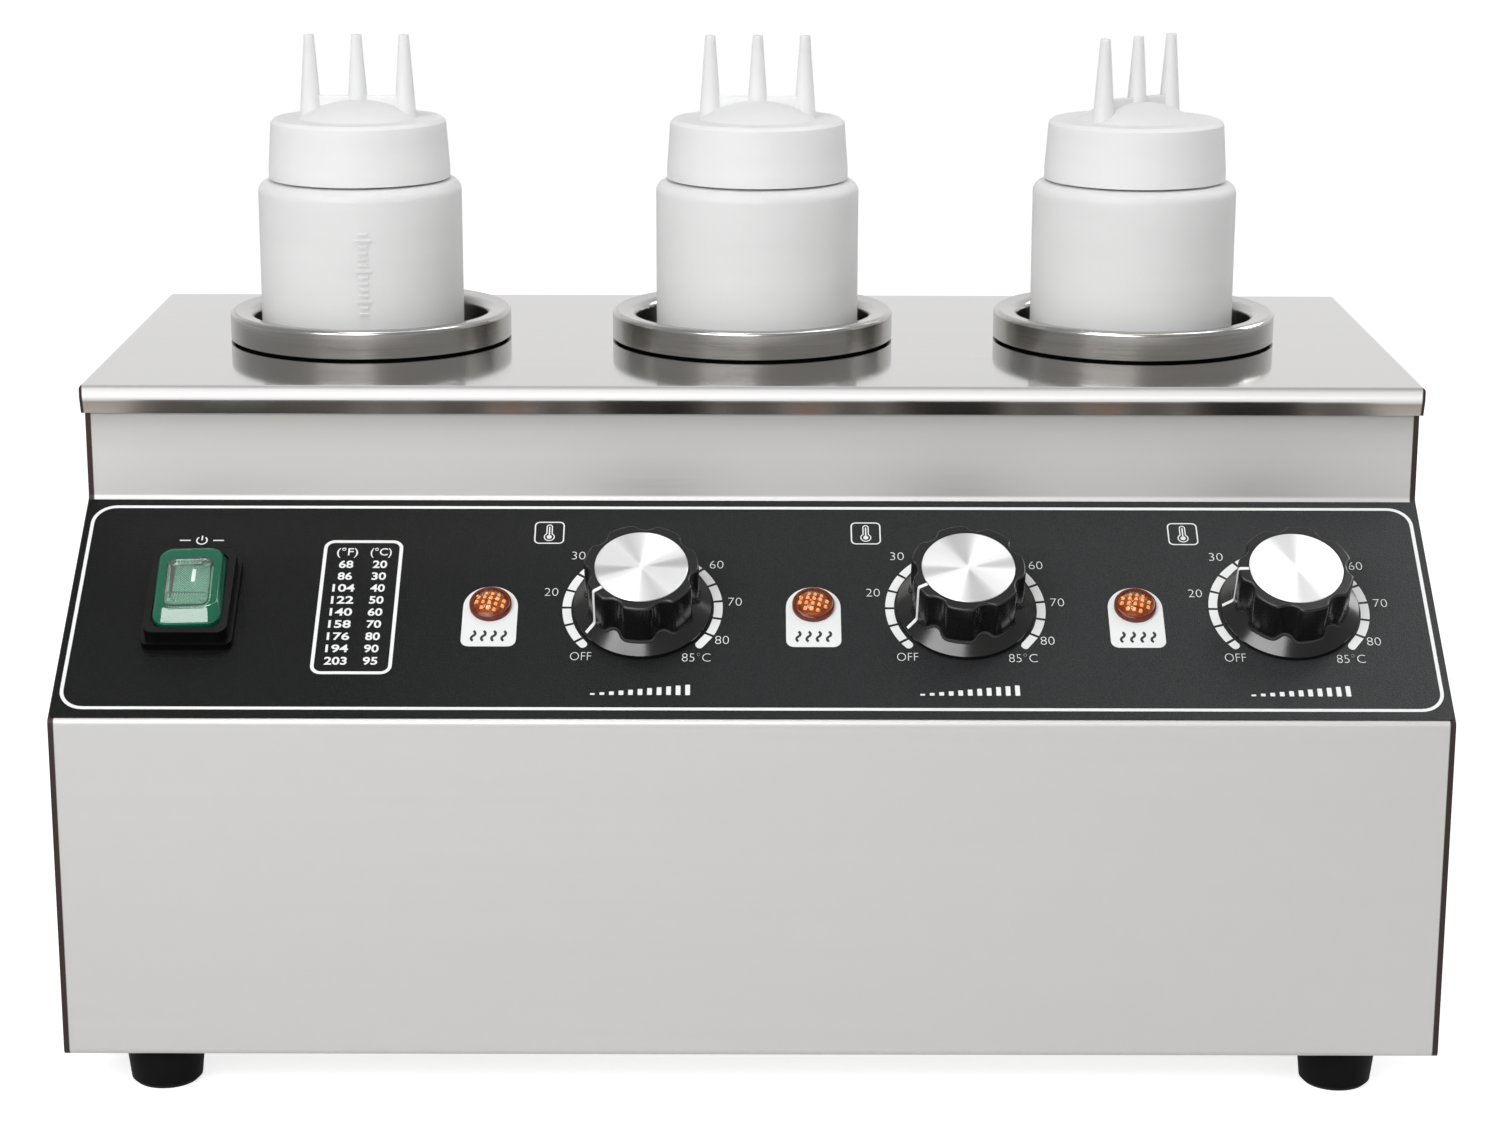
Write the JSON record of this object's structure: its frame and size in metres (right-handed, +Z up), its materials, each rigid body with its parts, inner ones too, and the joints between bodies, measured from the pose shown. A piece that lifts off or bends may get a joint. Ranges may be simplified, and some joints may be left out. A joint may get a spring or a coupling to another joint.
{
  "type": "topping warmer",
  "caption": "Countertop warmer with heated wells that hold capped squeeze bottles of sauce, each well with its own thermostat dial and pilot lamp on a sloping panel.",
  "frame": {"origin": "on the table, under the middle of the footprint with the cable gland counted in", "axes": "+X to the right as seen from the control panel, +Y to the back, +Z up"},
  "size_m": [0.5024, 0.31, 0.3683],
  "materials": {
    "stainless": "satin brushed stainless sheet",
    "polished_stainless": "bright drawn stainless",
    "panel_film": "fine-grained black membrane",
    "black_rubber": "moulded rubber",
    "knob_black": "glossy black moulding",
    "disc_aluminium": "spun aluminium",
    "lens_amber": "clear amber moulding",
    "switch_black": "satin black moulding",
    "rocker_green": "clear green moulding",
    "boot_clear": "clear soft plastic",
    "bottle_plastic": "milky squeezable plastic",
    "silicone": "silicone rubber",
    "heater_steel": "heat-tinted steel",
    "wool": "mineral wool",
    "unit_plastic": "pale heat-proof moulding",
    "zinc_steel": "zinc-plated steel",
    "brass": "bright brass",
    "wire_sleeve": "woven sleeving"
  },
  "bodies": {
    "bottle_1": {"bottle_1": "bottle_plastic"},
    "seal_1": {"cap_seal_1": "silicone"},
    "cap_1": {"bottle_cap_1": "bottle_plastic"},
    "knob_1": {"knob_1": "knob_black", "knob_disc_1": "disc_aluminium", "thermostat_shaft_1": "zinc_steel"},
    "bottle_2": {"bottle_2": "bottle_plastic"},
    "seal_2": {"cap_seal_2": "silicone"},
    "cap_2": {"bottle_cap_2": "bottle_plastic"},
    "knob_2": {"knob_2": "knob_black", "knob_disc_2": "disc_aluminium", "thermostat_shaft_2": "zinc_steel"},
    "bottle_3": {"bottle_3": "bottle_plastic"},
    "seal_3": {"cap_seal_3": "silicone"},
    "cap_3": {"bottle_cap_3": "bottle_plastic"},
    "knob_3": {"knob_3": "knob_black", "knob_disc_3": "disc_aluminium", "thermostat_shaft_3": "zinc_steel"},
    "rocker": {"switch_rocker": "rocker_green"},
    "root": {"front_panel": "stainless", "left_side_panel": "stainless", "right_side_panel": "stainless", "rear_panel": "stainless", "base_plate": "stainless", "top_cover": "stainless", "panel_overlay": "panel_film", "rubber_feet": "black_rubber", "foot_screws": "zinc_steel", "case_screws": "zinc_steel", "thermostat_screws": "zinc_steel", "cable_gland": "switch_black", "gland_cap": "switch_black", "gland_nut": "switch_black", "well_gaskets": "black_rubber", "insulation_sleeves": "wool", "clamp_bolts": "zinc_steel", "pilot_lamps": "unit_plastic", "pilot_nuts": "zinc_steel", "switch_housing": "switch_black", "switch_boot": "boot_clear", "switch_terminals": "brass", "terminal_block": "unit_plastic", "earth_stud": "brass", "wiring_loom": "wire_sleeve", "well_1": "polished_stainless", "heater_band_1": "heater_steel", "thermostat_1": "unit_plastic", "sensing_bulb_1": "brass", "pilot_lens_1": "lens_amber", "well_2": "polished_stainless", "heater_band_2": "heater_steel", "thermostat_2": "unit_plastic", "sensing_bulb_2": "brass", "pilot_lens_2": "lens_amber", "well_3": "polished_stainless", "heater_band_3": "heater_steel", "thermostat_3": "unit_plastic", "sensing_bulb_3": "brass", "pilot_lens_3": "lens_amber"}
  },
  "joints": [
    {"name": "bottle_1_lift", "type": "slide", "parent": "root", "child": "bottle_1", "axis": [0, 0, 1], "range_m": [0, 0.16]},
    {"name": "cap_1_rise", "type": "slide", "parent": "bottle_1", "child": "seal_1", "axis": [0, 0, 1], "range_m": [0, 0.0076]},
    {"name": "cap_1_unscrew", "type": "hinge", "parent": "seal_1", "child": "cap_1", "pos_m": [-0.1562, 0.036, 0.312], "axis": [0, 0, 1], "range_deg": [0, 540]},
    {"name": "knob_1_turn", "type": "hinge", "parent": "root", "child": "knob_1", "pos_m": [-0.04, -0.10977, 0.1735], "axis": [0, -0.5463, 0.8376], "range_deg": [-258.5, 7.5]},
    {"name": "bottle_2_lift", "type": "slide", "parent": "root", "child": "bottle_2", "axis": [0, 0, 1], "range_m": [0, 0.16]},
    {"name": "cap_2_rise", "type": "slide", "parent": "bottle_2", "child": "seal_2", "axis": [0, 0, 1], "range_m": [0, 0.0076]},
    {"name": "cap_2_unscrew", "type": "hinge", "parent": "seal_2", "child": "cap_2", "pos_m": [0.0019, 0.036, 0.312], "axis": [0, 0, 1], "range_deg": [0, 540]},
    {"name": "knob_2_turn", "type": "hinge", "parent": "root", "child": "knob_2", "pos_m": [0.078, -0.10977, 0.1735], "axis": [0, -0.5463, 0.8376], "range_deg": [-251.5, 14.5]},
    {"name": "bottle_3_lift", "type": "slide", "parent": "root", "child": "bottle_3", "axis": [0, 0, 1], "range_m": [0, 0.16]},
    {"name": "cap_3_rise", "type": "slide", "parent": "bottle_3", "child": "seal_3", "axis": [0, 0, 1], "range_m": [0, 0.0076]},
    {"name": "cap_3_unscrew", "type": "hinge", "parent": "seal_3", "child": "cap_3", "pos_m": [0.152, 0.036, 0.312], "axis": [0, 0, 1], "range_deg": [0, 540]},
    {"name": "knob_3_turn", "type": "hinge", "parent": "root", "child": "knob_3", "pos_m": [0.1963, -0.10977, 0.1735], "axis": [0, -0.5463, 0.8376], "range_deg": [-224, 42]},
    {"name": "rocker_tip", "type": "hinge", "parent": "root", "child": "rocker", "pos_m": [-0.2045, -0.11011, 0.17566], "axis": [1, 0, 0], "range_deg": [0, 18]}
  ],
  "couplings": [
    {"joint": "cap_1_rise", "follows": "cap_1_unscrew", "m_per_rad": 0.00079577},
    {"joint": "cap_2_rise", "follows": "cap_2_unscrew", "m_per_rad": 0.00079577},
    {"joint": "cap_3_rise", "follows": "cap_3_unscrew", "m_per_rad": 0.00079577}
  ]
}
